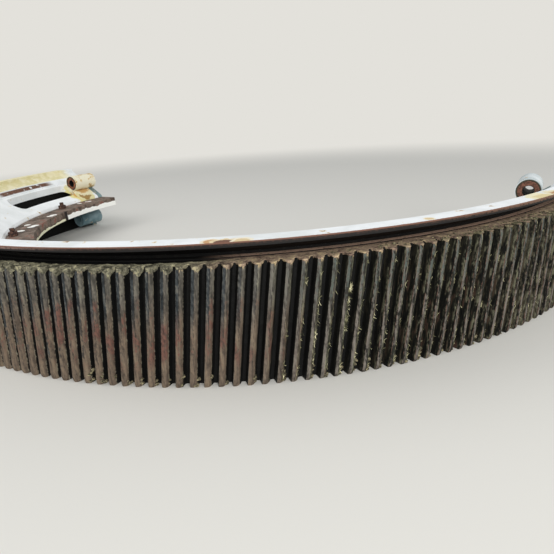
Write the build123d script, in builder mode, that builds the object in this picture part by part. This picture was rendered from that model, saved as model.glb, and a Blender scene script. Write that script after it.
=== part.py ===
from build123d import *
from math import asin, atan, cos, degrees, pi, radians, sin, sqrt, tan
import os

# Half of a split ring gear from a grinding mill, lying flat with its teeth outward.
# Millimetres, +Z up. Each piece is drawn with the gear's axis on the Z axis, the split
# face on the XZ plane and the middle of the half ring towards -Y. The toothed rim stands
# on Z = 0. Finished pieces then move along +Y, so that the origin is the middle of the
# half ring's footprint.

os.makedirs("parts", exist_ok=True)

# Teeth
module_size = 20.32
teeth_per_bay = 26
bay_count = 5
pressure_angle = 14.5
helix_angle = 7.8
face_width = 558.8
addendum_factor = 1.0
dedendum_factor = 1.25
tooth_embed = 4.0

# Toothed rim and the land on its upper end face
rim_thickness = 216.0
land_width = 34.0
land_height = 5.0

# Lip above the teeth, and the neck that carries it
lip_overhang = 144.0
lip_width = 95.0
lip_thickness = 22.0
lip_gap = 76.0
lip_step = 30.0
neck_thickness = 116.0
neck_height = 18.0

# Mounting ring, inside the rim by the span of the webs
web_span = 266.2
ring_width = 204.0
ring_bottom = 250.0
ring_height = 85.0
ring_hole_radius = 20.0
ring_hole_inset = 51.0
ring_hole_count = 16
ring_hole_start = 7.4
stud_holes = (1, 4, 11, 14)

# Two sloping webs that meet at a skirt round the mounting ring
web_thickness = 55.0
skirt_thickness = 49.0
shoulder_width = 12.0
upper_web_step = 20.0
lower_web_step = 20.0
lower_web_foot = 140.0

# Split joint
joint_plate_thickness = 60.0
joint_foot_width = 84.0
boss_radius = 80.0
boss_length = 270.0
boss_rim_gap = 30.0
boss_bore_radius = 34.0
boss_seat_radius = 68.0
boss_seat_depth = 4.0
upper_boss_drop = 129.8
lower_boss_height = 115.0

# Wrench slots in the webs, each beginning at the seat of a joint boss
slot_inset = 42.0
slot_rim_inset = 16.0
slot_end_angle = 30.0
slot_clearance = 8.0

# Cross ribs between the webs
rib_thickness = 40.0

# Studs left in the mounting ring
stud_clearance = 0.3
stud_height = 62.0
stud_nut_width = 65.0
stud_nut_height = 34.0

# Radii, heights and angles that follow from the sizes above
teeth = teeth_per_bay * bay_count
tooth_pitch_angle = 180.0 / teeth
bay_angle = 180.0 / bay_count
pitch_radius = module_size * teeth
tip_radius = pitch_radius + addendum_factor * module_size
root_radius = pitch_radius - dedendum_factor * module_size
rim_inner_radius = root_radius - rim_thickness
neck_radius = rim_inner_radius + neck_thickness
land_radius = neck_radius + land_width
lip_outer_radius = neck_radius + lip_overhang
lip_inner_radius = lip_outer_radius - lip_width
lip_top = face_width + lip_gap + lip_thickness
ring_outer_radius = rim_inner_radius - web_span
ring_inner_radius = ring_outer_radius - ring_width
ring_top = ring_bottom + ring_height
ring_middle = ring_bottom + ring_height / 2
ring_hole_line = ring_outer_radius - ring_hole_inset
ring_hole_step = (180.0 - 2 * ring_hole_start) / (ring_hole_count - 1)
skirt_radius = ring_outer_radius + skirt_thickness
lip_foot = lip_top - lip_step
upper_web_rise = (lip_foot - ring_top - upper_web_step) / (lip_inner_radius - ring_outer_radius)
lower_web_rise = (ring_bottom - lower_web_step - lower_web_foot) / (rim_inner_radius - ring_outer_radius)
rim_top_radius = lip_inner_radius - (lip_foot - face_width) / upper_web_rise
neck_top_radius = rim_top_radius + neck_height / upper_web_rise
upper_web_depth = web_thickness / cos(atan(upper_web_rise))
lower_web_depth = web_thickness / cos(atan(lower_web_rise))
boss_line_radius = sqrt((rim_inner_radius - boss_rim_gap) ** 2 - boss_length**2) - boss_radius
upper_boss_height = lip_top - upper_boss_drop
boss_heights = {"upper": upper_boss_height, "lower": lower_boss_height}
boss_angle = degrees(asin(boss_length / boss_line_radius))
joint_foot_radius = rim_inner_radius - joint_foot_width
joint_plate_angle = degrees(joint_plate_thickness / boss_line_radius)
rib_angle = degrees(2 * rib_thickness / (skirt_radius + rim_inner_radius))
slot_width = web_span - skirt_thickness - slot_inset - slot_rim_inset
slot_line_radius = skirt_radius + slot_inset + slot_width / 2


def upper_web_top(radius):
    """Height of the upper web's top face."""
    return lip_foot - upper_web_rise * (lip_inner_radius - radius)


def lower_web_bottom(radius):
    """Height of the lower web's bottom face."""
    return lower_web_foot + lower_web_rise * (rim_inner_radius - radius)


def radial_plane(angle):
    """Upright plane through the axis, angle degrees round from the left split end."""
    turn = radians(180.0 + angle)
    return Plane(
        origin=(0, 0, 0),
        x_dir=(cos(turn), sin(turn), 0),
        z_dir=(sin(turn), -cos(turn), 0),
    )


def tooth_gap_plane(boundary):
    """Plane that parts two rim bays along a tooth gap, upright at the split ends."""
    turn = radians(180.0 + boundary * bay_angle)
    lean = 0.0 if boundary in (0, bay_count) else radians(helix_angle)
    return Plane(
        origin=(0, 0, face_width / 2),
        x_dir=(cos(turn), sin(turn), 0),
        z_dir=(-sin(turn) * cos(lean), cos(turn) * cos(lean), -sin(lean)),
    )


def ring_sector(points, start, end):
    """Section turned about the axis between two angles from the left split end."""
    with BuildPart() as sector:
        with BuildSketch(radial_plane(start)):
            with BuildLine():
                Polyline(*points, close=True)
            make_face()
        revolve(axis=Axis.Z, revolution_arc=end - start)
    return sector.part


def slot_cutter(side):
    """Wrench slot beside the joint boss, as an upright prism."""
    first = boss_angle + degrees((slot_clearance + slot_width / 2) / slot_line_radius)
    last = slot_end_angle - degrees(slot_width / 2 / slot_line_radius)
    start = 180.0 + first if side < 0 else 360.0 - last
    slot_line = CenterArc((0, 0), slot_line_radius, start, last - first)
    with BuildPart() as cutter:
        with BuildSketch():
            SlotArc(slot_line, slot_width)
        extrude(amount=lip_top)
    return cutter.part


def boss_cutter(side, level):
    """Room for a joint boss, up to the wrench slot in front of its seat."""
    with BuildPart() as cutter:
        with BuildSketch(Plane.XZ):
            with Locations((side * boss_line_radius, boss_heights[level])):
                Circle(boss_radius)
        extrude(amount=boss_length)
    return cutter.part


def save(piece, name):
    """Move a finished piece to its place in the footprint, label it and write it."""
    placed = piece.moved(Location((0, tip_radius / 2, 0)))
    placed.label = name
    export_step(placed, f"parts/{name}.step")


# Sections, as (radius, height) points
upper_web_inner_end = [
    (ring_outer_radius + shoulder_width, upper_web_top(ring_outer_radius + shoulder_width)),
    (ring_outer_radius, upper_web_top(ring_outer_radius) - shoulder_width),
]
lower_web_inner_end = [
    (ring_outer_radius, lower_web_bottom(ring_outer_radius) + shoulder_width),
    (ring_outer_radius + shoulder_width, lower_web_bottom(ring_outer_radius + shoulder_width)),
]
upper_web_section = [
    (rim_inner_radius, upper_web_top(rim_inner_radius)),
    *upper_web_inner_end,
    (ring_outer_radius, ring_middle),
    (skirt_radius, ring_middle),
    (skirt_radius, upper_web_top(skirt_radius) - upper_web_depth),
    (rim_inner_radius, upper_web_top(rim_inner_radius) - upper_web_depth),
]
lower_web_section = [
    (rim_inner_radius, lower_web_bottom(rim_inner_radius)),
    (rim_inner_radius, lower_web_bottom(rim_inner_radius) + lower_web_depth),
    (skirt_radius, lower_web_bottom(skirt_radius) + lower_web_depth),
    (skirt_radius, ring_middle),
    (ring_outer_radius, ring_middle),
    *lower_web_inner_end,
]
rib_section = [
    (skirt_radius, lower_web_bottom(skirt_radius) + lower_web_depth),
    (rim_inner_radius, lower_web_bottom(rim_inner_radius) + lower_web_depth),
    (rim_inner_radius, upper_web_top(rim_inner_radius) - upper_web_depth),
    (skirt_radius, upper_web_top(skirt_radius) - upper_web_depth),
]
neck_section = [
    (rim_top_radius, face_width),
    (neck_radius, face_width),
    (neck_radius, face_width + neck_height),
    (neck_top_radius, face_width + neck_height),
]
lip_section = [
    (neck_top_radius, face_width + neck_height),
    (neck_radius, face_width + neck_height),
    (lip_inner_radius + lip_thickness, lip_top - lip_thickness),
    (lip_outer_radius, lip_top - lip_thickness),
    (lip_outer_radius, lip_top),
    (lip_inner_radius, lip_top),
    (lip_inner_radius, lip_foot),
]
ring_section = [
    (ring_inner_radius, ring_bottom),
    (ring_outer_radius, ring_bottom),
    (ring_outer_radius, ring_top),
    (ring_inner_radius, ring_top),
]
rim_section = [
    (rim_inner_radius, 0),
    (root_radius, 0),
    (root_radius, face_width),
    (land_radius, face_width),
    (land_radius, face_width + land_height),
    (neck_radius, face_width + land_height),
    (neck_radius, face_width),
    (rim_top_radius, face_width),
    (rim_inner_radius, upper_web_top(rim_inner_radius)),
]
joint_plate_section = [
    (joint_foot_radius, 0),
    (rim_inner_radius, 0),
    (rim_inner_radius, upper_web_top(rim_inner_radius)),
    *upper_web_inner_end,
    *lower_web_inner_end,
    (joint_foot_radius, lower_web_bottom(joint_foot_radius)),
]

# One tooth, leaning along the helix, at the angle 0 of the polar axis
tooth_lean = face_width * tan(radians(helix_angle))
half_tooth = pi * module_size / 4
flank_slope = tan(radians(pressure_angle))
tip_half_width = half_tooth - (tip_radius - pitch_radius) * flank_slope
foot_radius = root_radius - tooth_embed
foot_half_width = half_tooth + (pitch_radius - foot_radius) * flank_slope
with BuildPart() as tooth:
    with BuildSketch(Plane.XY):
        with BuildLine():
            Polyline(
                (foot_radius, -tooth_lean / 2 - foot_half_width),
                (tip_radius, -tooth_lean / 2 - tip_half_width),
                (tip_radius, -tooth_lean / 2 + tip_half_width),
                (foot_radius, -tooth_lean / 2 + foot_half_width),
                close=True,
            )
        make_face()
    extrude(
        amount=face_width / cos(radians(helix_angle)),
        dir=(0, sin(radians(helix_angle)), cos(radians(helix_angle))),
    )

# Toothed rim, parted along tooth gaps and made with spare teeth past both ends
spare_teeth = 2
bay_teeth = teeth_per_bay + 2 * spare_teeth
for bay in range(bay_count):
    rim_start = bay * bay_angle - spare_teeth * tooth_pitch_angle
    rim_arc = bay_teeth * tooth_pitch_angle
    first_tooth = 180.0 + rim_start + tooth_pitch_angle / 2
    with BuildPart() as toothed_rim:
        with BuildSketch(radial_plane(rim_start)):
            with BuildLine():
                Polyline(*rim_section, close=True)
            make_face()
        revolve(axis=Axis.Z, revolution_arc=rim_arc)
        with PolarLocations(0, bay_teeth, first_tooth, rim_arc):
            add(tooth.part)
        split(bisect_by=tooth_gap_plane(bay), keep=Keep.TOP)
        split(bisect_by=tooth_gap_plane(bay + 1), keep=Keep.BOTTOM)
    save(toothed_rim.part, f"toothed_rim_{bay + 1}")

# Neck, lip, webs and mounting ring of each bay
for bay in range(bay_count):
    bay_start = bay * bay_angle
    bay_end = bay_start + bay_angle
    web_start = bay_start + (joint_plate_angle if bay == 0 else 0.0)
    web_end = bay_end - (joint_plate_angle if bay == bay_count - 1 else 0.0)
    end_sides = {0: [-1], bay_count - 1: [1]}.get(bay, [])

    save(ring_sector(neck_section, bay_start, bay_end), f"rim_neck_{bay + 1}")
    save(ring_sector(lip_section, bay_start, bay_end), f"rim_lip_{bay + 1}")

    for level, web_section in (("upper", upper_web_section), ("lower", lower_web_section)):
        whole_web = ring_sector(web_section, web_start, web_end)
        web_cutters = [slot_cutter(side) for side in end_sides]
        web_cutters += [boss_cutter(side, level) for side in end_sides]
        with BuildPart() as web:
            add(whole_web)
            for cutter in web_cutters:
                add(cutter, mode=Mode.SUBTRACT)
        save(web.part, f"{level}_web_{bay + 1}")

    hole_angles = [ring_hole_start + number * ring_hole_step for number in range(ring_hole_count)]
    whole_ring = ring_sector(ring_section, bay_start, bay_end)
    with BuildPart() as mounting_ring:
        add(whole_ring)
        with BuildSketch(Plane.XY.offset(ring_bottom)):
            for hole_angle in hole_angles:
                if bay_start < hole_angle < bay_end:
                    with PolarLocations(ring_hole_line, 1, 180.0 + hole_angle):
                        Circle(ring_hole_radius)
        extrude(amount=ring_height, mode=Mode.SUBTRACT)
    save(mounting_ring.part, f"mounting_ring_{bay + 1}")

# Cross ribs between the webs, one at each inner bay line
for line in range(1, bay_count):
    rib_start = line * bay_angle - rib_angle / 2
    save(ring_sector(rib_section, rib_start, rib_start + rib_angle), f"cross_rib_{line}")

# Joint plates and bolt bosses at the two split ends
for side, side_name, plate_start in (
    (-1, "left", 0.0),
    (1, "right", 180.0 - joint_plate_angle),
):
    whole_plate = ring_sector(joint_plate_section, plate_start, plate_start + joint_plate_angle)
    plate_cutters = [boss_cutter(side, level) for level in boss_heights]
    with BuildPart() as joint_plate:
        add(whole_plate)
        for cutter in plate_cutters:
            add(cutter, mode=Mode.SUBTRACT)
    save(joint_plate.part, f"joint_plate_{side_name}")

    for level, height in boss_heights.items():
        with BuildPart() as joint_boss:
            with BuildSketch(Plane.XZ):
                with Locations((side * boss_line_radius, height)):
                    Circle(boss_radius)
                    Circle(boss_bore_radius, mode=Mode.SUBTRACT)
            extrude(amount=boss_length)
            with BuildSketch(Plane.XZ.offset(boss_length - boss_seat_depth)):
                with Locations((side * boss_line_radius, height)):
                    Circle(boss_seat_radius)
            extrude(amount=boss_seat_depth, mode=Mode.SUBTRACT)
        save(joint_boss.part, f"{level}_joint_boss_{side_name}")

# Studs that are still in the mounting ring
for number, hole in enumerate(stud_holes):
    stud_angle = 180.0 + ring_hole_start + hole * ring_hole_step
    with BuildPart() as ring_stud:
        with BuildSketch(Plane.XY.offset(ring_bottom)):
            with PolarLocations(ring_hole_line, 1, stud_angle):
                Circle(ring_hole_radius - stud_clearance)
        extrude(amount=ring_height + stud_height)
        with BuildSketch(Plane.XY.offset(ring_top)):
            with PolarLocations(ring_hole_line, 1, stud_angle):
                RegularPolygon(stud_nut_width / 2, 6, major_radius=False)
        extrude(amount=stud_nut_height)
    save(ring_stud.part, f"ring_stud_{number + 1}")
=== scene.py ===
import bisect
import math
import random
import bmesh
import bpy
from mathutils import Matrix, Vector, noise


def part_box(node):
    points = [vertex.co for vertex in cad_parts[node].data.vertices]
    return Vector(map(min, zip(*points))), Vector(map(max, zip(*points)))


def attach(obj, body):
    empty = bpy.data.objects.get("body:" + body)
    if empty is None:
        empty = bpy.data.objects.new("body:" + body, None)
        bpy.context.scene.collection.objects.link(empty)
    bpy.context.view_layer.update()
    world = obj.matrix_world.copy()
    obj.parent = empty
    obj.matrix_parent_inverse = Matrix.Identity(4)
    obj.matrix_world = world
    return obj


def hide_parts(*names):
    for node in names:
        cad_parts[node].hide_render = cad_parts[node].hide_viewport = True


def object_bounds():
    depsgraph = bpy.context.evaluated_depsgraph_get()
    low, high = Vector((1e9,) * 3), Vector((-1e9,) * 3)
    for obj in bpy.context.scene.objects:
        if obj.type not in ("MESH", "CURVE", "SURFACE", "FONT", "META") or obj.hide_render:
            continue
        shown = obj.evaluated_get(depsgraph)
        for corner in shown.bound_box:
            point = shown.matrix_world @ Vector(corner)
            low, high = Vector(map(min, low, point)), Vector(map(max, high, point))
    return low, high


# Half of a split girth gear, lying flat with its teeth outward.
# Metres. Bearings are degrees round the gear's axis from the left split end.
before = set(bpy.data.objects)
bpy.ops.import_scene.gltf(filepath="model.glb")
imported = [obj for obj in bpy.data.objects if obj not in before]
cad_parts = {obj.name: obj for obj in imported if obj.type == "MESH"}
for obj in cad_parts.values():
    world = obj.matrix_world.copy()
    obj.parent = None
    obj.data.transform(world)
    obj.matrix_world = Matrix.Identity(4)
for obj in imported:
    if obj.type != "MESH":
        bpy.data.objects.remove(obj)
cadLow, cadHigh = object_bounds()
axis = Vector((0.0, cadHigh.y, 0.0))  # the split faces lie in the axis's own plane


def reach(node):  # how far from the axis a middle bay's node reaches
    return axis.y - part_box(node)[0].y


gear = {
    "module": 0.02032,
    "bays": 5,
    "bayTeeth": 26,
    "helix": 7.8,  # degrees
    "face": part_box("rim_neck_3")[0].z,
    "tip": axis.y - cadLow.y,
    "neck": reach("rim_neck_3"),
    "lip": reach("rim_lip_3"),
    "lipWidth": 0.095,
    "lipTop": cadHigh.z,
    "lipStep": 0.03,
    "landWidth": 0.034,  # the machined land outside the neck
    "landHeight": 0.005,
    "rimThickness": 0.216,
    "ring": reach("mounting_ring_3"),
    "ringWidth": 0.204,
    "ringHeight": 0.085,
    "webTop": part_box("upper_web_3")[1].z,  # where the sloping web meets the rim's bore
    "ringFoot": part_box("mounting_ring_3")[0].z,
}
gear["teeth"] = gear["bays"] * gear["bayTeeth"]
gear["pitchRadius"] = gear["module"] * gear["teeth"]
gear["depth"] = 2.25 * gear["module"]
gear["root"] = gear["tip"] - gear["depth"]
gear["land"] = gear["neck"] + gear["landWidth"]
gear["bore"] = gear["root"] - gear["rimThickness"]
gear["lipInside"] = gear["lip"] - gear["lipWidth"]
gear["slope"] = (gear["lipTop"] - gear["lipStep"] - gear["webTop"]) / (gear["lipInside"] - gear["bore"])
gear["rimTop"] = gear["bore"] + (gear["face"] - gear["webTop"]) / gear["slope"]
gear["pitchAngle"] = math.pi / gear["teeth"]
gear["twist"] = gear["face"] * math.tan(math.radians(gear["helix"])) / gear["pitchRadius"]


def onRing(bearing, radius, height=0.0):  # a point from its bearing, radius and height
    turn = math.pi + math.radians(bearing)
    return axis + Vector((radius * math.cos(turn), radius * math.sin(turn), height))


def bearingOf(point):
    return math.degrees(math.atan2(point.y - axis.y, point.x)) % 360 - 180


def reached(value, none, full):  # how far a value has gone from none to full, 0 to 1
    return max(0.0, min(1.0, (value - none) / (full - none)))


# Materials

def tint(hexText):  # sRGB hex to linear
    parts = [int(hexText[i:i + 2], 16) / 255 for i in (1, 3, 5)]
    return tuple(c / 12.92 if c <= 0.04045 else ((c + 0.055) / 1.055) ** 2.4 for c in parts) + (1.0,)


def addNode(tree, kind, sockets=None, out=0, stops=None, **fields):
    # one node: a socket takes a value, a hex colour or another node's output
    node = tree.nodes.new("ShaderNode" + kind)
    for field, value in fields.items():
        setattr(node, field, value)
    for name, value in (sockets or {}).items():
        if isinstance(value, bpy.types.NodeSocket):
            tree.links.new(value, node.inputs[name])
        else:
            node.inputs[name].default_value = tint(value) if isinstance(value, str) else value
    if stops:
        ramp = node.color_ramp
        while len(ramp.elements) < len(stops):
            ramp.elements.new(1.0)
        for element, (place, hexText) in zip(ramp.elements, stops):
            element.position, element.color = place, tint(hexText)
    if out is None or not len(node.outputs):
        return node.outputs
    return node.outputs[out]


def newMaterial(name):
    material = bpy.data.materials.new(name)
    material.use_nodes = True
    material.node_tree.nodes.clear()
    return material, material.node_tree


def gearPlace(tree):  # a point's place about the gear's axis
    spot = addNode(tree, "TexCoord", out=None)
    centred = addNode(tree, "Mapping", {"Vector": spot["Object"], "Location": -axis})
    flat = addNode(tree, "VectorMath", {0: centred, 1: (1, 1, 0)}, operation="MULTIPLY")
    turned = addNode(tree, "VectorMath", {0: centred, 1: (-1, -1, 1)}, operation="MULTIPLY")
    parts = addNode(tree, "SeparateXYZ", {0: turned}, out=None)
    turn = addNode(tree, "Math", {0: parts["Y"], 1: parts["X"]}, operation="ARCTAN2")
    return {
        "spot": centred,
        "bearing": addNode(tree, "Math", {0: turn, 1: 180 / math.pi}, operation="MULTIPLY"),
        "radius": addNode(tree, "VectorMath", {0: flat}, out="Value", operation="LENGTH"),
        "height": parts["Z"],
        "fromSplit": parts["Y"],
        "facing": addNode(tree, "SeparateXYZ", {0: spot["Normal"]}, out="Z"),
    }


def mottle(tree, spot, spacing, detail=3.0, stretch=(1, 1, 1), seed=0.0):
    # cloudy values about 0.5, in patches so many metres apart
    moved = addNode(tree, "Mapping", {"Vector": spot, "Location": (seed, seed, seed), "Scale": stretch})
    return addNode(tree, "TexNoise", {"Vector": moved, "Scale": 1 / spacing, "Detail": detail,
                                      "Roughness": 0.6})


def layer(tree, under, over, *shares):
    # one colour over another, as far as every (value, none, full) share has gone from none to full
    cover = None
    for value, none, full in shares:
        rise = addNode(tree, "MapRange", {"Value": value, "From Min": none, "From Max": full},
                       interpolation_type="SMOOTHSTEP")
        cover = rise if cover is None else addNode(tree, "Math", {0: cover, 1: rise}, operation="MULTIPLY")
    return addNode(tree, "Mix", {0: cover, 6: under, 7: over}, out=2, data_type="RGBA")


def finishSurface(tree, colour, bumps, depth, rough, grain, **shine):
    # the shader, its roughness between two values by the grain, and a bump so many metres deep
    roughness = addNode(tree, "MapRange", {"Value": grain, "To Min": rough[0], "To Max": rough[1]})
    bump = addNode(tree, "Bump", {"Height": bumps, "Distance": depth})
    shader = addNode(tree, "BsdfPrincipled", {"Base Color": colour, "Roughness": roughness, "Normal": bump,
                                              "Metallic": shine.get("metallic", 0.0),
                                              "Specular IOR Level": shine.get("specular", 0.3)})
    addNode(tree, "OutputMaterial", {"Surface": shader})


def wornGreasySteelAndPaintedShade():
    # Cut cast steel: worn shoulders rust brown, lands dark with grease, gaps near black with grease and
    # painted shade
    material, tree = newMaterial("wornGreasySteelAndPaintedShade")
    at = toothPlace(tree)
    worn = wornShoulders(tree, at)
    land = greasyLands(tree, at, worn)
    olive = addNode(tree, "ValToRGB", {0: at["tone"]}, stops=[
        (0.64, "#14150F"), (0.75, "#2C2C22"), (0.86, "#48473A"), (0.96, "#77755F")])
    worn = layer(tree, worn, olive, (at["bearing"], 119, 129), (at["broken"], 0.6, 0.72))
    left, right = cakedAndShadedFlanks(tree, at, olive)
    # near black in the gaps: packed grease and painted shade between the teeth
    colour = layer(tree, "#050504", right, (at["rightFlank"], 0.3, 0.7))
    colour = layer(tree, colour, left, (at["leftFlank"], 0.2, 0.6))
    colour = layer(tree, colour, worn, (at["shoulder"], 0.4, 0.6))
    colour = layer(tree, colour, land, (at["land"], 0.4, 0.6))
    colour = toothEdges(tree, at, colour)
    colour = besideTeeth(tree, at, colour)
    finishSurface(tree, colour, at["tone"], 0.0025, (0.6, 0.85), at["grains"], metallic=0.1, specular=0.25)
    return material


def toothPlace(tree):  # the gear's place, the zones stored in the teeth's outline, and their mottles
    at = gearPlace(tree)
    zones = addNode(tree, "Attribute", out=None, attribute_name="toothZones")
    parts = addNode(tree, "SeparateColor", {"Color": zones["Color"]}, out=None)
    grains = mottle(tree, at["spot"], 0.009, 3, (1, 1, 0.5), 1.7)  # 9 mm grains, a pixel or two wide
    streaks = mottle(tree, at["spot"], 0.016, 3, (1, 1, 0.12), 3.1)  # 16 mm streaks, 130 mm long
    patches = mottle(tree, at["spot"], 0.13, 3, (1.8, 1.8, 1), 8.0)
    return {
        **at,
        "land": parts["Red"],
        "shoulder": parts["Green"],
        "leftFlank": parts["Blue"],
        "rightFlank": zones["Alpha"],
        "grains": grains,
        "streaks": streaks,
        "patches": patches,
        "tone": addNode(tree, "Math", {0: grains, 1: 0.6, 2: streaks}, operation="MULTIPLY_ADD"),
        "broken": addNode(tree, "Math", {0: grains, 1: 0.5, 2: patches}, operation="MULTIPLY_ADD"),
    }


def wornShoulders(tree, at):
    # warm brown low down, greyer high up, rusty between in the left part, with dark pits
    low = addNode(tree, "ValToRGB", {0: at["tone"]}, stops=[
        (0.62, "#4A4037"), (0.73, "#5C5044"), (0.84, "#695B4D"), (0.96, "#786957")])
    high = addNode(tree, "ValToRGB", {0: at["tone"]}, stops=[
        (0.62, "#3C3A34"), (0.73, "#4F4B44"), (0.84, "#5D5850"), (0.96, "#706C60")])
    rust = layer(tree, "#523B34", "#6B4C41", (at["grains"], 0.38, 0.6))
    worn = layer(tree, low, high, (at["height"], 0.28, 0.44))
    worn = layer(tree, worn, rust, (at["broken"], 0.76, 0.88), (at["height"], 0.05, 0.18),
                 (at["height"], 0.46, 0.36), (at["bearing"], 130, 122))
    return layer(tree, worn, "#26221D", (at["grains"], 0.33, 0.29))


def greasyLands(tree, at, worn):
    # the teeth's tops: worn low down, dark grease above it, dusty and olive in the right part
    greasy = addNode(tree, "ValToRGB", {0: at["tone"]}, stops=[
        (0.62, "#15181A"), (0.75, "#282C2E"), (0.86, "#3B3F40"), (0.97, "#5D5A53")])
    dusty = addNode(tree, "ValToRGB", {0: at["tone"]}, stops=[
        (0.6, "#302D29"), (0.75, "#4F4943"), (0.95, "#736C63")])
    top = layer(tree, worn, greasy, (at["height"], 0.22, 0.4), (at["bearing"], 125, 118))
    top = layer(tree, top, greasy, (at["broken"], 0.74, 0.64), (at["bearing"], 112, 100),
                (at["height"], 0.02, 0.2))
    top = layer(tree, top, dusty, (at["bearing"], 119, 127))
    top = layer(tree, top, "#4B524C", (at["height"], 0.3, 0.42), (at["bearing"], 120, 130),
                (at["grains"], 0.42, 0.56))
    return layer(tree, top, "#1D1D17", (at["bearing"], 126, 134), (at["tone"], 0.79, 0.72))


def cakedAndShadedFlanks(tree, at, olive):
    # left flanks nearly black with painted shade but streaked and lighter at the far right, right flanks
    # near black with painted shade and caked with grease
    cake = addNode(tree, "ValToRGB", {0: at["tone"]}, stops=[
        (0.62, "#0B0C08"), (0.74, "#1F2018"), (0.86, "#3E3E32"), (0.97, "#86846A")])
    # the right flanks' near black is painted shade cast by the next tooth
    right = layer(tree, "#050504", cake, (at["bearing"], 120, 130), (at["broken"], 0.6, 0.76),
                  (at["height"], 0.56, 0.3))
    side = layer(tree, "#0A0B08", "#2A281E", (at["streaks"], 0.42, 0.62))
    side = layer(tree, side, "#46332A", (at["streaks"], 0.55, 0.62), (at["height"], 0.5, 0.36),
                 (at["bearing"], 130, 138))
    # the left flanks' near black is painted shade, away from the light
    left = layer(tree, "#060605", side, (at["bearing"], 126, 136))
    left = layer(tree, left, "#5C5442", (at["bearing"], 142, 160), (at["tone"], 0.7, 0.9))
    left = layer(tree, left, olive, (at["radius"], gear["tip"] - 0.024, gear["tip"] - 0.01),
                 (at["bearing"], 127, 137), (at["tone"], 0.76, 0.88))
    return left, right


def toothEdges(tree, at, colour):
    # thin lines where two zones meet: a painted shadow line between land and shoulder, a painted highlight
    # where shoulder meets right flank, and a line on the land's left edge; and a tan painted highlight on
    # the shoulders' upper ends
    shadowLineMask = addNode(tree, "Math", {0: at["land"], 1: at["shoulder"]}, operation="MULTIPLY")
    # painted shadow line between land and shoulder
    colour = layer(tree, colour, "#1E1B17", (shadowLineMask, 0.08, 0.22), (at["height"], 0.1, 0.3),
                   (at["grains"], 0.6, 0.48))
    corner = addNode(tree, "Math", {0: at["shoulder"], 1: at["rightFlank"]}, operation="MULTIPLY")
    # painted highlight on the shoulder's outer edge
    colour = layer(tree, colour, "#7F7866", (corner, 0.08, 0.22), (at["bearing"], 124, 116),
                   (at["grains"], 0.48, 0.6))
    edge = addNode(tree, "Math", {0: at["land"], 1: at["leftFlank"]}, operation="MULTIPLY")
    line = layer(tree, "#6C6960", "#6E5246", (at["bearing"], 127, 135))
    colour = layer(tree, colour, line, (edge, 0.1, 0.22), (at["grains"], 0.44, 0.56))
    # tan painted highlight on the shoulders' upper ends
    return layer(tree, colour, "#A89471", (at["shoulder"], 0.5, 0.9),
                 (at["height"], gear["face"] - 0.022, gear["face"] - 0.008), (at["grains"], 0.42, 0.56))


def besideTeeth(tree, at, colour):
    # the rim's other faces: the ledge and land, black on the left as the lip's painted shadow and lightened
    # brown to the right as painted light, the painted slope inside, and the split face, teal as painted
    # shade
    # ledge inside the land: black is the lip's painted shadow, the light brown is painted light
    ledge = layer(tree, "#080706", "#BE9E88", (at["bearing"], 116, 121), (at["streaks"], 0.3, 0.44))
    colour = layer(tree, colour, ledge, (at["facing"], 0.6, 0.85),
                   (at["radius"], gear["land"] + 0.01, gear["land"]))
    paint = stainedWhite(tree, at, 0.69)[0]
    colour = layer(tree, colour, paint, (at["facing"], 0.5, 0.6),
                   (at["radius"], gear["rimTop"] + 0.008, gear["rimTop"] + 0.004))
    # teal on the split face is painted shade on its paint
    splitFaceInPaintedShade = layer(tree, "#55625F", "#41352E", (at["patches"], 0.42, 0.62))
    return layer(tree, colour, splitFaceInPaintedShade, (at["fromSplit"], 0.0006, 0.0003))


def driedGreaseCrust():
    # Grease, dust and grit dried on the ledge: olive and lumpy, brown and thin to the right, that brown
    # lightened as painted light; darker where it droops over the teeth as painted shade, with a tan painted
    # highlight along its inner edge on the right
    material, tree = newMaterial("driedGreaseCrust")
    at = gearPlace(tree)
    lumps = mottle(tree, at["spot"], 0.04, 4, seed=4.2)
    grit = mottle(tree, at["spot"], 0.009, 3, seed=2.2)
    tone = addNode(tree, "Math", {0: grit, 1: 0.6, 2: lumps}, operation="MULTIPLY_ADD")
    shelf = addNode(tree, "ValToRGB", {0: tone}, stops=[
        (0.62, "#625F4E"), (0.72, "#928C74"), (0.82, "#AAA486"), (0.94, "#C6BE9A")])
    front = addNode(tree, "ValToRGB", {0: tone}, stops=[
        (0.62, "#33322A"), (0.72, "#5A5747"), (0.82, "#757160"), (0.94, "#9C9678")])
    brownWithPaintedLight = addNode(tree, "ValToRGB", {0: tone}, stops=[
        (0.62, "#594A40"), (0.74, "#8C7665"), (0.84, "#A58F78"), (0.95, "#C2AC86")])
    root, land = gear["root"], gear["land"]
    # darker toward the front where it droops over the teeth: painted shade
    colour = layer(tree, shelf, front, (at["radius"], root - 0.03, root + 0.01))
    # the right part's brown, lightened as painted light
    colour = layer(tree, colour, brownWithPaintedLight, (at["bearing"], 114, 122))
    colour = layer(tree, colour, "#5E5A44", (at["bearing"], 132, 146),
                   (at["radius"], root - 0.01, root + 0.02), (tone, 0.7, 0.8))
    # tan painted highlight along the inner edge in the right part
    colour = layer(tree, colour, "#C9B284", (at["bearing"], 117, 124),
                   (at["radius"], land + 0.02, land + 0.01), (grit, 0.36, 0.5))
    colour = layer(tree, colour, "#D6CF9C", (grit, 0.66, 0.72))
    colour = layer(tree, colour, "#26241D", (grit, 0.36, 0.3))
    finishSurface(tree, colour, tone, 0.006, (0.8, 0.95), grit, specular=0.15)
    return material


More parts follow.
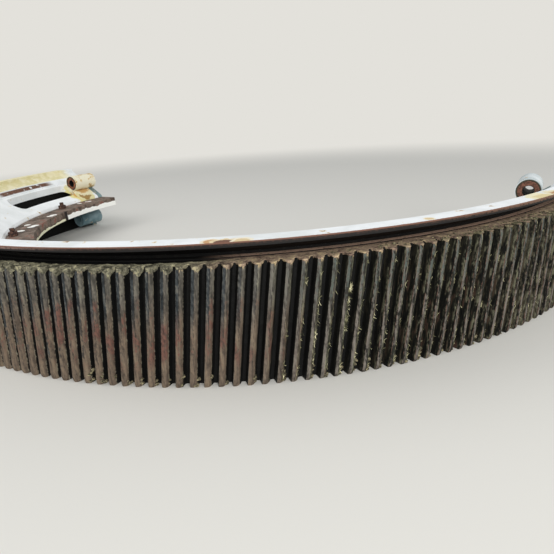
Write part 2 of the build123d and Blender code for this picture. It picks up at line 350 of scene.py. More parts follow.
def dirtLumps():
    # Lumps of dirt and old grease at the teeth's feet and tops: olive brown and gritty
    material, tree = newMaterial("dirtLumps")
    at = gearPlace(tree)
    grit = mottle(tree, at["spot"], 0.009, 3, seed=2.2)
    colour = addNode(tree, "ValToRGB", {0: grit}, stops=[
        (0.36, "#27251C"), (0.5, "#5E5745"), (0.64, "#9A9070")])
    finishSurface(tree, colour, grit, 0.003, (0.8, 0.95), grit, specular=0.15)
    return material


def blackGreaseInPaintedShade():
    # Bearing grease gone hard in the neck under the lip: near black, also as the lip's painted shadow,
    # hardly shining, painted white inside
    material, tree = newMaterial("blackGreaseInPaintedShade")
    at = gearPlace(tree)
    lumps = mottle(tree, at["spot"], 0.03, 4)
    # near black: grease and the lip's painted shadow
    colour = layer(tree, "#050505", "#14120F", (lumps, 0.45, 0.7))
    paint = stainedWhite(tree, at, 0.69)[0]
    colour = layer(tree, colour, paint, (at["facing"], 0.5, 0.6))
    finishSurface(tree, colour, lumps, 0.004, (0.55, 0.8), lumps, specular=0.2)
    return material


def brokenPaint(tree, at, base, rusts):
    # chalked paint in two tones with rust blisters: cream halo, ochre rim and brown heart
    cloud = mottle(tree, at["spot"], 0.2, 4, seed=5.5)
    blisters = mottle(tree, at["spot"], 0.07, 5, (1, 1, 1.4), 9.1)
    fine = mottle(tree, at["spot"], 0.01, 3, seed=0.7)
    heart = layer(tree, "#3E2A22", "#704A39", (fine, 0.4, 0.6))
    colour = layer(tree, base[0], base[1], (cloud, 0.35, 0.65))
    colour = layer(tree, colour, "#DCCBA2", (blisters, rusts - 0.05, rusts))
    colour = layer(tree, colour, "#A97C52", (blisters, rusts - 0.01, rusts + 0.02))
    colour = layer(tree, colour, heart, (blisters, rusts + 0.01, rusts + 0.03))
    return colour, blisters, fine


def addStains(tree, at, colour, blisters, stains):
    # a stain is its bearing, radius, height, reach and colours from its border inward
    for bearing, radius, height, size, colours in stains:
        away = addNode(tree, "VectorMath", {0: at["spot"], 1: onRing(bearing, radius, height) - axis},
                       out="Value", operation="DISTANCE")
        ragged = addNode(tree, "Math", {0: blisters, 1: -1.2 * size, 2: away}, operation="MULTIPLY_ADD")
        for number, hexText in enumerate(colours):
            edge = size * (0.4 - 0.32 * number)
            colour = layer(tree, colour, hexText, (ragged, edge + 0.12 * size, edge - 0.04 * size))
    return colour


leftEnd = {
    "yellowBearings": ((1, 4), (34, 29)),  # where it begins and where it ends
    "yellowInside": (2.475, 2.49),
    "rustBearings": ((9, 12), (30, 27)),
    "rustInside": (2.418, 2.428),
    "rustOutside": (2.476, 2.466),
}


def endStains(tree, at, colour, blisters, fine):
    # the left end's paint: yellowed on the lip and its slope, with a row of rust patches below
    yellow = layer(tree, "#DACF9C", "#E8DFBA", (blisters, 0.4, 0.6))
    starts, ends = leftEnd["yellowBearings"]
    colour = layer(tree, colour, yellow, (at["bearing"], *ends), (at["bearing"], *starts),
                   (at["radius"], *leftEnd["yellowInside"]))
    rust = layer(tree, "#4A3026", "#7A5542", (fine, 0.4, 0.6))
    starts, ends = leftEnd["rustBearings"]
    return layer(tree, colour, rust, (at["radius"], *leftEnd["rustInside"]),
                 (at["radius"], *leftEnd["rustOutside"]), (at["bearing"], *ends),
                 (at["bearing"], *starts), (blisters, 0.33, 0.42))


def stainedWhite(tree, at, rusts):  # the upper side's white, with the left end's stains
    colour, blisters, fine = brokenPaint(tree, at, ("#ECEEEE", "#DCDFDD"), rusts)
    return endStains(tree, at, colour, blisters, fine), blisters, fine


def chalkedPaint(name, base, rusts, stains=()):
    # Thick brushed paint on cast steel, chalked by the sun, with blisters and run-down rust
    material, tree = newMaterial(name)
    at = gearPlace(tree)
    colour, blisters, fine = brokenPaint(tree, at, base, rusts)
    if stains:
        colour = endStains(tree, at, colour, blisters, fine)
        colour = addStains(tree, at, colour, blisters, stains)
    finishSurface(tree, colour, blisters, 0.003, (0.5, 0.75), fine)
    return material


lipStains = (
    (118.2, 2.64, gear["lipTop"], 0.045, ("#E6DAC0", "#C09466")),
    (119.4, 2.655, gear["lipTop"], 0.06, ("#DCC8A0", "#6A4432")),
    (120.7, 2.645, gear["lipTop"], 0.045, ("#E9E0C8", "#D5BE92")),
    (138.2, 2.63, gear["lipTop"], 0.026, ("#E9E0C8", "#D5BE92")),
    (153.8, 2.655, gear["lipTop"], 0.09, ("#E9E0BC", "#DCCB98")),
    (156.8, 2.665, gear["lipTop"], 0.08, ("#E4D9B4", "#B08458")),
)


def chalkedLipPaint():
    # The same white on the lip, worn to rusty metal on its outer edge, darkened there as painted shade, and
    # black underneath as painted shade
    material, tree = newMaterial("chalkedLipPaint")
    at = gearPlace(tree)
    top, outside = gear["lipTop"], gear["lip"]
    colour, blisters, fine = stainedWhite(tree, at, 0.68)
    colour = addStains(tree, at, colour, blisters, lipStains)
    ragged = addNode(tree, "Math", {0: fine, 1: 0.012, 2: at["radius"]}, operation="MULTIPLY_ADD")
    colour = layer(tree, colour, "#7A5340", (ragged, outside + 0.001, outside + 0.004),
                   (at["bearing"], 112, 140))
    # outer edge: rust darkened as painted shade, blackest low down
    edge = layer(tree, "#171210", "#3A2820", (fine, 0.45, 0.65))
    edge = layer(tree, edge, "#8E746A", (at["bearing"], 106, 92), (fine, 0.3, 0.5))
    edge = layer(tree, edge, "#6E4C3E", (at["height"], top - 0.008, top - 0.004))
    edge = layer(tree, edge, "#6A5040", (at["bearing"], 136, 155), (fine, 0.35, 0.55))
    edge = layer(tree, edge, "#0E0B0A", (at["height"], top - 0.011, top - 0.016))
    colour = layer(tree, colour, edge, (at["facing"], 0.7, 0.4),
                   (at["radius"], outside - 0.004, outside - 0.001))
    # black underneath: painted shade
    colour = layer(tree, colour, "#0B0908", (at["facing"], -0.1, -0.4))
    finishSurface(tree, colour, blisters, 0.003, (0.5, 0.75), fine)
    return material


boss = {
    "leftEnd": (30, 20),  # bearings from the plain to the stained end
    "seatRim": (0.078, 0.074),  # from the bore's middle
    "seat": (0.068, 0.064),
    "bore": (0.04, 0.035),
}


def stainedBoss():
    # Painted boss: rusted spot face, bore near black as painted shade and, at the left end, a brown
    # rust-stained barrel
    material, tree = newMaterial("rustStainedBoss")
    at = gearPlace(tree)
    colour, blisters, fine = brokenPaint(tree, at, ("#DDE2E2", "#BFC7C6"), 0.66)
    barrel = layer(tree, "#E6DFC4", "#CDAE74", (blisters, 0.5, 0.6))
    barrel = layer(tree, barrel, "#6E4C3A", (blisters, 0.6, 0.64))
    colour = layer(tree, colour, barrel, (at["bearing"], *boss["leftEnd"]))
    low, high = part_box("upper_joint_boss_right")
    middle = (low + high) / 2
    sideways = addNode(tree, "SeparateXYZ", {0: at["spot"]}, out="X")
    sideways = addNode(tree, "Math", {0: sideways}, operation="ABSOLUTE")
    across = addNode(tree, "CombineXYZ", {"X": sideways, "Z": at["height"]})
    off = addNode(tree, "VectorMath", {0: across, 1: (middle.x, 0, middle.z)}, out="Value",
                  operation="DISTANCE")
    seat = layer(tree, "#4C3226", "#7E5442", (fine, 0.4, 0.6))
    seat = layer(tree, seat, "#B0662E", (at["bearing"], *boss["leftEnd"]), (fine, 0.54, 0.62))
    front = axis.y - low.y
    atFront = (at["fromSplit"], front - 0.012, front - 0.006)
    colour = layer(tree, colour, "#3C3A2C", (off, *boss["seatRim"]), atFront)
    colour = layer(tree, colour, seat, (off, *boss["seat"]), atFront)
    # the bore's near black is painted shade
    colour = layer(tree, colour, "#080706", (off, *boss["bore"]))
    finishSurface(tree, colour, blisters, 0.003, (0.55, 0.8), fine)
    return material


ringSpots = (  # bearing, radius and reach
    (46.7, 2.055, 0.03), (41.5, 1.98, 0.03), (39.8, 2.059, 0.026), (43.0, 2.0, 0.03),
    (28.1, 1.981, 0.034), (29.6, 1.99, 0.03), (11.1, 2.073, 0.026), (7.9, 2.056, 0.034),
)
boreStrip = {
    "height": 0.045,  # of its ragged edge above the ring's foot
    "widerTo": (24.4, 23.9),  # bearings where it grows narrow
    "gap": ((23.0, 23.5), (25.0, 24.5)),
}


def rustedMachinedRing():
    # Turned cast steel, rusted dark brown, with white overspray and a ragged cream strip in its bore, darker
    # underneath as painted shade
    material, tree = newMaterial("rustedMachinedRing")
    at = gearPlace(tree)
    cloud = mottle(tree, at["spot"], 0.09, 4, seed=2.5)
    fine = mottle(tree, at["spot"], 0.01, 3, seed=6.1)
    tone = addNode(tree, "Math", {0: fine, 1: 0.6, 2: cloud}, operation="MULTIPLY_ADD")
    colour = addNode(tree, "ValToRGB", {0: tone}, stops=[
        (0.62, "#3C2F28"), (0.74, "#5E4E43"), (0.84, "#75665A"), (0.95, "#8F8172")])
    colour = layer(tree, colour, "#7C4E42", (cloud, 0.56, 0.64))
    spray = mottle(tree, at["spot"], 0.08, 4, seed=7.3)
    colour = layer(tree, colour, "#E9E8E2", (spray, 0.72, 0.74), (at["facing"], 0.3, 0.7))
    top = gear["ringFoot"] + gear["ringHeight"]
    colour = addStains(tree, at, colour, spray, [
        (bearing, radius, top, size, ("#F1EFE8",)) for bearing, radius, size in ringSpots])
    bore = gear["ring"] - gear["ringWidth"]
    ragged = addNode(tree, "Math", {0: spray, 1: 0.05, 2: at["height"]}, operation="MULTIPLY_ADD")
    edge = gear["ringFoot"] + boreStrip["height"]
    inBore = (at["radius"], bore + 0.004, bore + 0.002)
    strip = layer(tree, "#D3CFA2", "#ECE9D6", (fine, 0.4, 0.6))
    colour = layer(tree, colour, "#4A3A2C", (ragged, edge + 0.012, edge + 0.006), inBore)
    colour = layer(tree, colour, strip, (ragged, edge + 0.002, edge - 0.003), inBore)
    colour = layer(tree, colour, "#F4F3EC", (ragged, edge + 0.028, edge + 0.022),
                   (at["bearing"], *boreStrip["widerTo"]), inBore)
    starts, ends = boreStrip["gap"]
    colour = layer(tree, colour, "#1E1613", (at["bearing"], *starts), (at["bearing"], *ends),
                   (at["radius"], bore + 0.03, bore + 0.02))
    # darker on faces turned down: painted shade
    colour = layer(tree, colour, "#2E2824", (at["facing"], -0.3, -0.6))
    finishSurface(tree, colour, tone, 0.002, (0.6, 0.85), fine, metallic=0.1)
    return material


def rustedStuds():
    # Steel studs and nuts, rusted through to a flaking dark brown
    material, tree = newMaterial("rustedStuds")
    at = gearPlace(tree)
    fine = mottle(tree, at["spot"], 0.012, 4)
    colour = addNode(tree, "ValToRGB", {0: fine}, stops=[
        (0.34, "#1C1411"), (0.5, "#43302A"), (0.66, "#7A5846")])
    finishSurface(tree, colour, fine, 0.002, (0.75, 0.95), fine)
    return material


def strawAndScale():
    # Flakes of dried grease and straw stuck to the teeth: straw, olive and nearly black
    material, tree = newMaterial("strawAndScale")
    at = gearPlace(tree)
    pick = mottle(tree, at["spot"], 0.035, 1, seed=3.3)
    fine = mottle(tree, at["spot"], 0.008, 2, seed=1.1)
    colour = addNode(tree, "ValToRGB", {0: pick}, stops=[
        (0.36, "#23221A"), (0.46, "#5A583F"), (0.55, "#9B9672"), (0.66, "#D8D0A8")])
    finishSurface(tree, colour, fine, 0.001, (0.8, 0.95), fine, specular=0.2)
    return material


upperWebStains = (
    (6.4, 2.235, 0.42, 0.14, ("#E6DA96", "#CF9A4F")),
    (5.1, 2.186, 0.39, 0.1, ("#DCD3A0", "#9C7C46")),
    (3.8, 2.298, 0.46, 0.14, ("#E9E2BE", "#CDA56A")),
)
materials = {
    "teeth": wornGreasySteelAndPaintedShade(),
    "crust": driedGreaseCrust(),
    "grease": blackGreaseInPaintedShade(),
    "lumps": dirtLumps(),
    "lip": chalkedLipPaint(),
    "white": chalkedPaint("chalkedWhitePaint", ("#F2F3F1", "#E6E8E5"), 0.69, upperWebStains),
    # teal on the lower webs, ribs and joint plates is painted shade on white paint
    "shaded": chalkedPaint("whitePaintInPaintedShade", ("#7E9292", "#586A6A"), 0.64),
    # pale blue on the lower bosses is painted shade on white paint
    "pale": chalkedPaint("whitePaintInPalePaintedShade", ("#8FA5AA", "#5C777D"), 0.66),
    "boss": stainedBoss(),
    "ring": rustedMachinedRing(),
    "stud": rustedStuds(),
    "straw": strawAndScale(),
}
finishes = {"rim_neck": "grease", "rim_lip": "lip", "upper_web": "white", "lower_web": "shaded",
            "mounting_ring": "ring", "cross_rib": "shaded", "joint_plate": "shaded",
            "upper_joint_boss": "boss", "lower_joint_boss": "pale", "ring_stud": "stud"}
for name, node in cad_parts.items():
    for start, finish in finishes.items():
        if name.startswith(start):
            node.data.materials.clear()
            node.data.materials.append(materials[finish])
print("materials done")


# Toothed rim: each bay is one tooth's outline, copied round, swept up the helix and closed inside

tooth = {
    "steps": 56,  # along the face, 10 mm each
    "spare": 2,  # teeth past a split end, cut off again
    "endChamfer": 0.009,  # worn off the tooth's ends
    "endLength": 0.03,
    "pits": 0.0015,
    "pitsOften": 105,  # a metre
    "lumps": 0.003,
    "lumpsOften": (38, 38, 16),
    "lumpsBelow": 0.25,  # share of the tooth's depth
    "cake": 0.004,  # old grease caked on the right flanks
    "cakeBearings": ((120, 128), (172, 160)),  # where it grows and where it ends
    # mm sideways, mm below the tip, and how far a point is on the land, the worn shoulder and the flanks
    "outline": [
        (-31.92, 45.7, 0, 0, 0, 0), (-24.5, 45.7, 0, 0, 0.2, 0), (-22.2, 43.0, 0, 0, 0.5, 0),
        (-19.0, 30.0, 0, 0, 1, 0), (-16.2, 16.0, 0, 0, 1, 0), (-13.2, 3.0, 0, 0, 1, 0),
        (-12.0, 0.5, 0.6, 0, 0.4, 0), (-10.8, 0.0, 1, 0, 0, 0), (-0.8, 0.0, 1, 0, 0, 0),
        (2.4, 0.5, 0, 1, 0, 0), (6.5, 2.6, 0, 1, 0, 0), (11.0, 7.6, 0, 1, 0, 0),
        (14.0, 13.6, 0, 1, 0, 0), (15.6, 18.0, 0, 0.5, 0, 0.5), (16.8, 22.0, 0, 0, 0, 1),
        (19.2, 32.0, 0, 0, 0, 1), (22.2, 43.0, 0, 0, 0, 0.5), (24.5, 45.7, 0, 0, 0, 0.2),
        (31.92, 45.7, 0, 0, 0, 0),
    ],
}
profile = sorted((row[0], row[1]) for row in tooth["outline"])
sides = [side for side, drop in profile]


def outlineAt(side):  # mm below the tip at so many mm sideways, and the outline's slope there
    place = max(1, min(len(sides) - 1, bisect.bisect(sides, side)))
    low, high = profile[place - 1], profile[place]
    share = (side - low[0]) / (high[0] - low[0])
    return low[1] + share * (high[1] - low[1]), (high[1] - low[1]) / (high[0] - low[0])


def finishMesh(bm, name, material, smoothAngle=40):  # one object from a bmesh, at the origin
    bmesh.ops.recalc_face_normals(bm, faces=bm.faces)
    mesh = bpy.data.meshes.new(name)
    bm.to_mesh(mesh)
    bm.free()
    mesh.shade_smooth()
    mesh.set_sharp_from_angle(angle=math.radians(smoothAngle))
    mesh.materials.append(materials[material])
    piece = bpy.data.objects.new(name, mesh)
    bpy.context.scene.collection.objects.link(piece)
    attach(piece, "root")
    return piece


def edgesIn(made):
    return [e for e in made if isinstance(e, bmesh.types.BMEdge)]


def vertsIn(made):
    return [v for v in made if isinstance(v, bmesh.types.BMVert)]


def vertsOf(edges):
    return list({v for e in edges for v in e.verts})


def endAtSplit(bm):  # nothing reaches past the split plane
    for vert in bm.verts:
        vert.co.y = min(vert.co.y, axis.y)


def ringFrame(point):  # a point's radius about the axis, and the ways outward and onward there
    spot = point - axis
    radius = Vector((spot.x, spot.y)).length
    outward = Vector((spot.x, spot.y, 0)) / radius
    return radius, outward, Vector((-outward.y, outward.x, 0))


def weather(vert, zones):  # wear on the tooth's ends and shoulder, and grease caked on its flanks
    radius, outward, onward = ringFrame(vert.co)
    depth = gear["tip"] - radius
    share = min(1.0, depth / gear["depth"])
    leftFlank, rightFlank = vert[zones][2:]
    lumps = noise.noise(vert.co * Vector(tooth["lumpsOften"]))
    pits = noise.noise(vert.co * tooth["pitsOften"])
    fromEnd = min(vert.co.z, gear["face"] - vert.co.z)
    worn = tooth["endChamfer"] * max(0.0, 1 - fromEnd / tooth["endLength"]) ** 2 * (1 - share)
    shift = -tooth["pits"] * (1 - share) * abs(pits) - worn
    if share > tooth["lumpsBelow"]:
        shift += tooth["lumps"] * share * lumps + tooth["pits"] * pits
    bearing = bearingOf(vert.co)
    grows, ends = tooth["cakeBearings"]
    caked = reached(bearing, *grows) * reached(bearing, *ends)
    cake = tooth["cake"] * caked * max(0.0, lumps + 0.6 * pits + 0.25) * (1.3 - vert.co.z / gear["face"])
    sideways = rightFlank * cake + tooth["pits"] * (rightFlank - leftFlank) * lumps
    vert.co += outward * min(shift, depth) + onward * sideways


def rimBay(bay):
    bm = bmesh.new()
    zones = bm.verts.layers.float_color.new("toothZones")
    before = tooth["spare"] if bay == 0 else 0
    count = gear["bayTeeth"] + before + (tooth["spare"] if bay == gear["bays"] - 1 else 0)
    first = math.radians(bay * 180 / gear["bays"]) + (0.5 - before) * gear["pitchAngle"] - gear["twist"] / 2
    points = []
    for side, drop, *zone in tooth["outline"]:
        turn = first + side / 1000 / gear["pitchRadius"]
        point = bm.verts.new(onRing(math.degrees(turn), gear["tip"] - drop / 1000))
        point[zones] = zone
        points.append(point)
    edges = [bm.edges.new(pair) for pair in zip(points, points[1:])]
    bmesh.ops.spin(bm, geom=points + edges, cent=axis, axis=(0, 0, 1),
                   angle=(count - 1) * gear["pitchAngle"], steps=count - 1, use_duplicate=True)
    bmesh.ops.remove_doubles(bm, verts=bm.verts, dist=1e-4)
    foot = list(bm.edges)
    swept = bmesh.ops.spin(bm, geom=list(bm.verts) + foot, cent=axis, axis=(0, 0, 1), angle=gear["twist"],
                           steps=tooth["steps"], dvec=(0, 0, gear["face"] / tooth["steps"]))
    row = edgesIn(swept["geom_last"])
    for vert in bm.verts:
        weather(vert, zones)
    # the ledge, the step up to the land, the neck's foot, down the bore, and back out underneath
    landTop = gear["face"] + gear["landHeight"]
    inward = (
        (gear["land"], gear["face"]),
        (gear["land"], landTop),
        (gear["neck"] - 0.01, landTop),
        (gear["rimTop"], gear["face"]),
        (gear["bore"], gear["webTop"]),
        (gear["bore"], 0.0),
    )
    for radius, height in inward:
        made = bmesh.ops.extrude_edge_only(bm, edges=row)["geom"]
        row = [e for e in edgesIn(made) if len(e.link_faces) == 1 and all(v in made for v in e.verts)]
        for vert in vertsOf(row):
            outward = ringFrame(vert.co)[1]
            vert.co = axis + outward * radius + Vector((0, 0, height))
            vert[zones] = (0, 0, 0, 0)
    untwist = Matrix.Rotation(-gear["twist"], 3, "Z")
    bmesh.ops.rotate(bm, verts=vertsOf(row), cent=axis, matrix=untwist)
    bmesh.ops.bridge_loops(bm, edges=row + foot)
    bmesh.ops.holes_fill(bm, edges=[e for e in bm.edges if e.is_boundary], sides=0)
    if count > gear["bayTeeth"]:
        cut = bmesh.ops.bisect_plane(bm, geom=bm.verts[:] + bm.edges[:] + bm.faces[:], dist=1e-5,
                                     plane_co=axis, plane_no=(0, 1, 0), clear_outer=True)
        bmesh.ops.holes_fill(bm, edges=edgesIn(cut["geom_cut"]), sides=0)
        endAtSplit(bm)
    piece = finishMesh(bm, f"cut_teeth_{bay + 1}", "teeth", 32)
    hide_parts(f"toothed_rim_{bay + 1}")


for bay in range(gear["bays"]):
    rimBay(bay)
print("teeth done")


# Crust of dried grease on the ledge, drooping over the tops of the teeth

crust = {
    "step": 0.0055,  # along the ring
    "flatRows": 11,
    "droopRows": 3,
    "apart": 0.1,  # the rows, as they are first made
    "thick": (0.008, 0.003),  # left and right
    "inside": (gear["land"] + 0.042, gear["land"] + 0.008),
    "turnsThin": (113, 121),  # bearings between which left becomes right
    "blur": 0.005,  # along the ring, of its outer edge
    "overGap": 0.004,  # how far it reaches over a gap, and stays inside the tip
    "lumps": ((0.6, 22), (0.4, 62), (0.3, 130)),  # share, and how often a metre
    "rise": (0.55, 0.6, 0.12),  # shares of its thickness: plain, by its lumps, and the least
    "firstRow": 0.15,  # share of the rise
    "droop": 0.058,
    "hang": (0.42, 0.7, 0.4, 0.15),  # shares of the droop: plain, by waves, by lumps, and the least
    "waves": 1.4,  # a degree
    "hangInGaps": 0.3,  # share of what it hangs on a tooth
    "thinHangsLess": 0.72,
    "sunk": 0.004,
}


def outlineRadius(bearing):  # the toothed outline's radius at the upper end
    angle = math.radians(bearing) - gear["twist"] / 2
    away = (angle / gear["pitchAngle"]) % 1.0 - 0.5
    side = away * gear["pitchAngle"] * gear["pitchRadius"] * 1000
    return gear["tip"] - outlineAt(side)[0] / 1000


def crustEdge(bearing):  # the crust's outer edge follows the teeth, a little blurred
    past = math.degrees(crust["blur"] / gear["tip"])
    edge = (outlineRadius(bearing - past) + 2 * outlineRadius(bearing) + outlineRadius(bearing + past)) / 4
    return min(edge, outlineRadius(bearing) + crust["overGap"], gear["tip"] - crust["overGap"])


def crustPoint(bearing, row):  # first the rows that lie on the ledge, then those that droop over the teeth
    last = crust["flatRows"] - 1
    thin = reached(bearing, *crust["turnsThin"])
    inside = crust["inside"][0] + thin * (crust["inside"][1] - crust["inside"][0])
    thick = crust["thick"][0] + thin * (crust["thick"][1] - crust["thick"][0])
    edge = crustEdge(bearing)
    radius = inside + (edge - inside) * min(1.0, row / last)
    spot = onRing(bearing, radius, gear["face"])
    uneven = sum(share * noise.noise(spot * often) for share, often in crust["lumps"])
    plain, lumpy, least = crust["rise"]
    rise = thick * max(least, plain + lumpy * uneven) * (crust["firstRow"] if row == 0 else 1.0)
    if row <= last:
        stepUp = gear["landHeight"] * max(0.0, min(1.0, (gear["land"] + 0.008 - radius) / 0.01))
        return onRing(bearing, radius, gear["face"] + stepUp + rise)
    fall = (row - last) / crust["droopRows"]
    plain, wavy, lumpy, least = crust["hang"]
    wave = noise.noise(Vector((bearing * crust["waves"], 3.3, 0)))
    hang = max(least, plain + wavy * wave + lumpy * uneven)
    overTooth = (edge - gear["root"]) / gear["depth"]
    hang *= crust["hangInGaps"] + (1 - crust["hangInGaps"]) * overTooth
    drop = crust["droop"] * hang * fall * (1 - crust["thinHangsLess"] * thin)
    bulge = 0.003 * (1 - fall) * (1 + uneven)
    return onRing(bearing, edge + bulge - 0.002 * fall, gear["face"] + rise * (1 - fall) - drop)


def crustBay(bay):
    bm = bmesh.new()
    start = bay * 180 / gear["bays"]
    steps = round(math.pi / gear["bays"] * gear["tip"] / crust["step"])
    rows = crust["flatRows"] + crust["droopRows"]
    points = [bm.verts.new(onRing(start, 1 + crust["apart"] * row, gear["face"])) for row in range(rows)]
    edges = [bm.edges.new(pair) for pair in zip(points, points[1:])]
    bmesh.ops.spin(bm, geom=points + edges, cent=axis, axis=(0, 0, 1),
                   angle=math.radians(180 / gear["bays"]), steps=steps)
    for vert in bm.verts:
        row = round((ringFrame(vert.co)[0] - 1) / crust["apart"])
        vert.co = crustPoint(bearingOf(vert.co), row)
    made = bmesh.ops.extrude_face_region(bm, geom=bm.faces[:])["geom"]
    for vert in vertsIn(made):
        outward = ringFrame(vert.co)[1]
        vert.co -= outward * crust["sunk"] + Vector((0, 0, 2 * crust["sunk"]))
    endAtSplit(bm)
    finishMesh(bm, f"ledge_crust_{bay + 1}", "crust", 80)


for bay in range(gear["bays"]):
    crustBay(bay)
print("crust done")


# Flakes of dried grease and straw on the teeth's right shoulders, and lumps at their feet and tops

flake = {
    "seed": 11,
    "count": 620,
    "bearings": (124, 174),
    "cluster": (129.3, 0.22, 0.44, 46),  # bearing, heights and number of the thickest ones
    "fromEnds": 0.02,  # kept clear at the teeth's ends
    "lowDown": 1.3,  # above 1 brings more of them low down
    "sides": (6, 16.5),  # mm sideways on the tooth
    "length": (0.01, 0.036),
    "width": (0.002, 0.0045),
    "curl": (0.1, 0.4),  # of its length
    "bow": (-0.3, 0.3),
    "thick": 0.001,
    "lean": 50,  # degrees off upright
    "underTip": 0.002,
}
lump = {
    "seed": 5,
    "count": 300,
    "size": (0.004, 0.012),
    "onTops": 0.55,  # share of them
    "topBearings": (128, 179),
    "topRadius": (gear["root"] - 0.02, gear["tip"] - 0.012),
    "footBearings": (104, 150),
    "footSides": (12, 19),
    "footHeights": (0.008, 0.06),  # the lowest, and how much higher they reach
    "fromOutline": 0.004,
    "flat": 0.7,
}


def onTooth(number, side, height):  # a point on a tooth's worn outline, and the way out of its face
    turn = (number + 0.5) * gear["pitchAngle"] + side / 1000 / gear["pitchRadius"]
    turn += gear["twist"] * (height / gear["face"] - 0.5)
    drop, slope = outlineAt(side)
    point = onRing(math.degrees(turn), gear["tip"] - drop / 1000, height)
    outward, onward = ringFrame(point)[1:]
    return point, (outward + onward * slope).normalized()


def toothFlakes():
    rand = random.Random(flake["seed"])
    bm = bmesh.new()
    middle, bottom, top, clustered = flake["cluster"]
    for index in range(flake["count"]):
        bearing = rand.uniform(*flake["bearings"])
        span = gear["face"] - 2 * flake["fromEnds"]
        height = flake["fromEnds"] + span * rand.random() ** flake["lowDown"]
        if index < clustered:
            bearing, height = middle, rand.uniform(bottom, top)
        number = int(bearing / 180 * gear["teeth"])
        point, out = onTooth(number, rand.uniform(*flake["sides"]), height)
        length, width = rand.uniform(*flake["length"]), rand.uniform(*flake["width"])
        made = bmesh.ops.create_grid(bm, x_segments=1, y_segments=4, size=0.5)["verts"]
        curl, bow = rand.uniform(*flake["curl"]) * length, rand.uniform(*flake["bow"]) * length
        for vert in made:  # curved, narrow at the tips
            along = vert.co.y * 2
            vert.co = Vector((vert.co.x * width * (1.15 - along * along) + bow * (1 - along * along),
                              vert.co.y * length, curl * along * along))
        upright = Vector((0, 0, 1))
        across = upright.cross(out).normalized()
        stand = Matrix((across, upright, out)).transposed().to_4x4()
        lean = Matrix.Rotation(math.radians(rand.uniform(-flake["lean"], flake["lean"])), 4, "Z")
        bmesh.ops.transform(bm, verts=made, matrix=Matrix.Translation(point + out * 0.0005) @ stand @ lean)
        for vert in made:
            radius, outward = ringFrame(vert.co)[:2]
            vert.co -= outward * max(0.0, radius - gear["tip"] + flake["underTip"])
    bmesh.ops.recalc_face_normals(bm, faces=bm.faces)
    bmesh.ops.solidify(bm, geom=bm.faces[:], thickness=flake["thick"])
    finishMesh(bm, "grease_flakes", "straw")


def greaseLumps():
    rand = random.Random(lump["seed"])
    bm = bmesh.new()
    for _ in range(lump["count"]):
        size = rand.uniform(*lump["size"])
        onTop = rand.random() < lump["onTops"]
        bearing = rand.uniform(*lump["topBearings" if onTop else "footBearings"])
        if onTop:
            radius = rand.uniform(*lump["topRadius"])
            if radius > outlineRadius(bearing) - lump["fromOutline"]:
                continue
            point = onRing(bearing, radius, gear["face"])
        else:
            number = int(bearing / 180 * gear["teeth"])
            lowest, higher = lump["footHeights"]
            side = rand.uniform(*lump["footSides"])
            point = onTooth(number, side, lowest + higher * rand.random() ** 2)[0]
        made = bmesh.ops.create_icosphere(bm, subdivisions=2, radius=size)["verts"]
        for vert in made:
            vert.co *= 1 + 0.5 * noise.noise(vert.co / size * 1.3 + point * 9)
            vert.co.z *= lump["flat"]
            vert.co += point
            vert.co.z = max(0.0005, vert.co.z)
    finishMesh(bm, "grease_lumps", "lumps")


toothFlakes()
greaseLumps()
print("flakes done")


# Studs still in the mounting ring: rusty hex nuts with the thread standing out of them

stud = {
    "radius": 0.0197,
    "segments": 20,
    "pitch": 0.0045,
    "threadDepth": 0.0022,
    "nutWidth": 0.065,
    "nutHeight": 0.034,
    "nutTurn": 23,  # degrees from one nut to the next
    "top": 0.062,
    "chamfer": 0.004,
    "rusted": 0.0012,
}


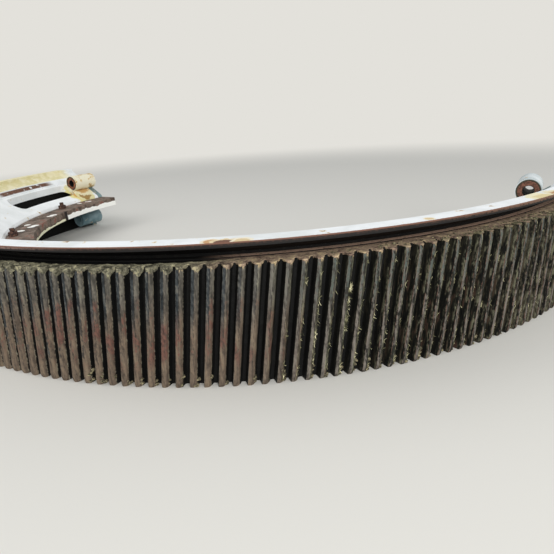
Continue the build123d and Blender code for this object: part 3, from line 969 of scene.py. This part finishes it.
def ringStud(number):
    low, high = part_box(f"ring_stud_{number}")
    middle = (low + high) / 2
    seat = high.z - stud["top"]
    bm = bmesh.new()
    corner = stud["nutWidth"] / math.sqrt(3)
    nut = bmesh.ops.create_circle(bm, cap_ends=True, segments=6, radius=corner)["verts"]
    turned = Matrix.Rotation(math.radians(stud["nutTurn"] * number), 3, "Z")
    bmesh.ops.rotate(bm, verts=nut, cent=(0, 0, 0), matrix=turned)
    made = bmesh.ops.extrude_face_region(bm, geom=bm.faces[:])["geom"]
    bmesh.ops.translate(bm, verts=vertsIn(made), vec=(0, 0, stud["nutHeight"]))
    corners = [e for e in bm.edges if e.calc_length() > 0.01]
    bmesh.ops.bevel(bm, geom=corners, offset=stud["chamfer"], affect="EDGES", segments=2, profile=0.5,
                    material=-1)
    shank = bmesh.ops.create_circle(bm, segments=stud["segments"], radius=stud["radius"])["verts"]
    bmesh.ops.translate(bm, verts=shank, vec=(0, 0, low.z - seat))
    row = list({e for v in shank for e in v.link_edges})
    core = stud["radius"] - stud["threadDepth"]
    turns = int((stud["top"] - stud["nutHeight"]) / stud["pitch"])
    steps = [(stud["radius"], stud["nutHeight"] - 0.002)]
    for turn in range(turns):
        steps.append((core, stud["nutHeight"] + (turn + 0.5) * stud["pitch"]))
        steps.append((stud["radius"], stud["nutHeight"] + (turn + 1) * stud["pitch"]))
    steps.append((core, stud["top"]))
    bmesh.ops.holes_fill(bm, edges=row, sides=0)
    for radius, height in steps:
        made = bmesh.ops.extrude_edge_only(bm, edges=row)["geom"]
        row = [e for e in edgesIn(made) if len(e.link_faces) == 1]
        for vert in vertsOf(row):
            flat = Vector((vert.co.x, vert.co.y, 0)).normalized() * radius
            vert.co = flat + Vector((0, 0, height))
    bmesh.ops.holes_fill(bm, edges=row, sides=0)
    for vert in bm.verts:  # eaten by rust
        if vert.co.z > 0.001:
            away = Vector((vert.co.x, vert.co.y, 0)).normalized()
            vert.co += away * stud["rusted"] * noise.noise(vert.co * 90 + low * 7)
    bmesh.ops.translate(bm, verts=bm.verts, vec=(middle.x, middle.y, seat))
    piece = finishMesh(bm, f"threaded_stud_{number}", "stud", 30)
    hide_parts(f"ring_stud_{number}")


for number in (1, 2, 3, 4):
    ringStud(number)
print("studs done")


# Floor, light and camera

studio = {
    "floor": 60.0,
    "ground": "#DAD7CF",
    "backdrop": "#E3E1DB",
    "fade": (7.0, 13.0),  # metres out, from the floor's own colour to the backdrop's
    "sky": 0.7,
    # power, size, place and target
    "key": (1110.0, 5.4, (8.8, -7.8, 5.3), (0.3, -0.8, 0.3)),
    "fill": (130.0, 5.0, (-5.0, -3.0, 5.5), (0.0, 0.0, 0.3)),
}
view = {
    "place": (2.386, -2.432, 1.123),
    "turn": 30.65,  # degrees
    "dip": 19.22,
    "roll": 4.067,
    "lens": 30.56,  # mm on a 36 mm sensor
}


def seenRays(tree):  # 1 for the rays that show the backdrop, in the picture or in a reflection
    path = addNode(tree, "LightPath", out=None)
    return addNode(tree, "Math", {0: path["Is Camera Ray"], 1: path["Is Glossy Ray"]}, operation="MAXIMUM")


def paleFloor():
    bm = bmesh.new()
    bmesh.ops.create_grid(bm, x_segments=1, y_segments=1, size=studio["floor"] / 2)
    mesh = bpy.data.meshes.new("floor")
    bm.to_mesh(mesh)
    bm.free()
    material, tree = newMaterial("paleFloor")
    ground = addNode(tree, "BsdfPrincipled", {"Base Color": studio["ground"], "Roughness": 0.9,
                                              "Specular IOR Level": 0.2})
    plain = addNode(tree, "Emission", {"Color": studio["backdrop"]})
    spot = addNode(tree, "TexCoord", out="Object")
    away = addNode(tree, "VectorMath", {0: spot}, out="Value", operation="LENGTH")
    start, end = studio["fade"]
    far = addNode(tree, "MapRange", {"Value": away, "From Min": start, "From Max": end},
                  interpolation_type="SMOOTHSTEP")
    share = addNode(tree, "Math", {0: seenRays(tree), 1: far}, operation="MULTIPLY")
    addNode(tree, "OutputMaterial", {"Surface": addNode(tree, "MixShader", {0: share, 1: ground, 2: plain})})
    mesh.materials.append(material)
    floor = bpy.data.objects.new("floor", mesh)
    bpy.context.scene.collection.objects.link(floor)


def softLight(name, power, size, place, target):
    data = bpy.data.lights.new(name, "AREA")
    data.energy, data.size, data.shape = power, size, "DISK"
    lamp = bpy.data.objects.new(name, data)
    lamp.location = place
    lamp.rotation_euler = (Vector(target) - Vector(place)).to_track_quat("-Z", "Y").to_euler()
    bpy.context.scene.collection.objects.link(lamp)


def skyLight():
    world = bpy.data.worlds.new("studioSky")
    world.use_nodes = True
    tree = world.node_tree
    tree.nodes.clear()
    light = addNode(tree, "Background", {"Color": "#EEF2F7", "Strength": studio["sky"]})
    plain = addNode(tree, "Background", {"Color": studio["backdrop"], "Strength": 1.0})
    shown = addNode(tree, "MixShader", {0: seenRays(tree), 1: light, 2: plain})
    addNode(tree, "OutputWorld", {"Surface": shown})
    bpy.context.scene.world = world


def photoCamera():
    data = bpy.data.cameras.new("photoCamera")
    data.lens, data.sensor_width = view["lens"], 36.0
    camera = bpy.data.objects.new("photoCamera", data)
    turn = (Matrix.Rotation(math.radians(view["turn"]), 4, "Z")
            @ Matrix.Rotation(math.radians(90 - view["dip"]), 4, "X")
            @ Matrix.Rotation(math.radians(-view["roll"]), 4, "Z"))
    camera.matrix_world = Matrix.Translation(view["place"]) @ turn
    bpy.context.scene.collection.objects.link(camera)
    bpy.context.scene.camera = camera


paleFloor()
skyLight()
softLight("keyLight", *studio["key"])
softLight("fillLight", *studio["fill"])
photoCamera()
bpy.context.scene.view_settings.view_transform = "Standard"
print("studio done")
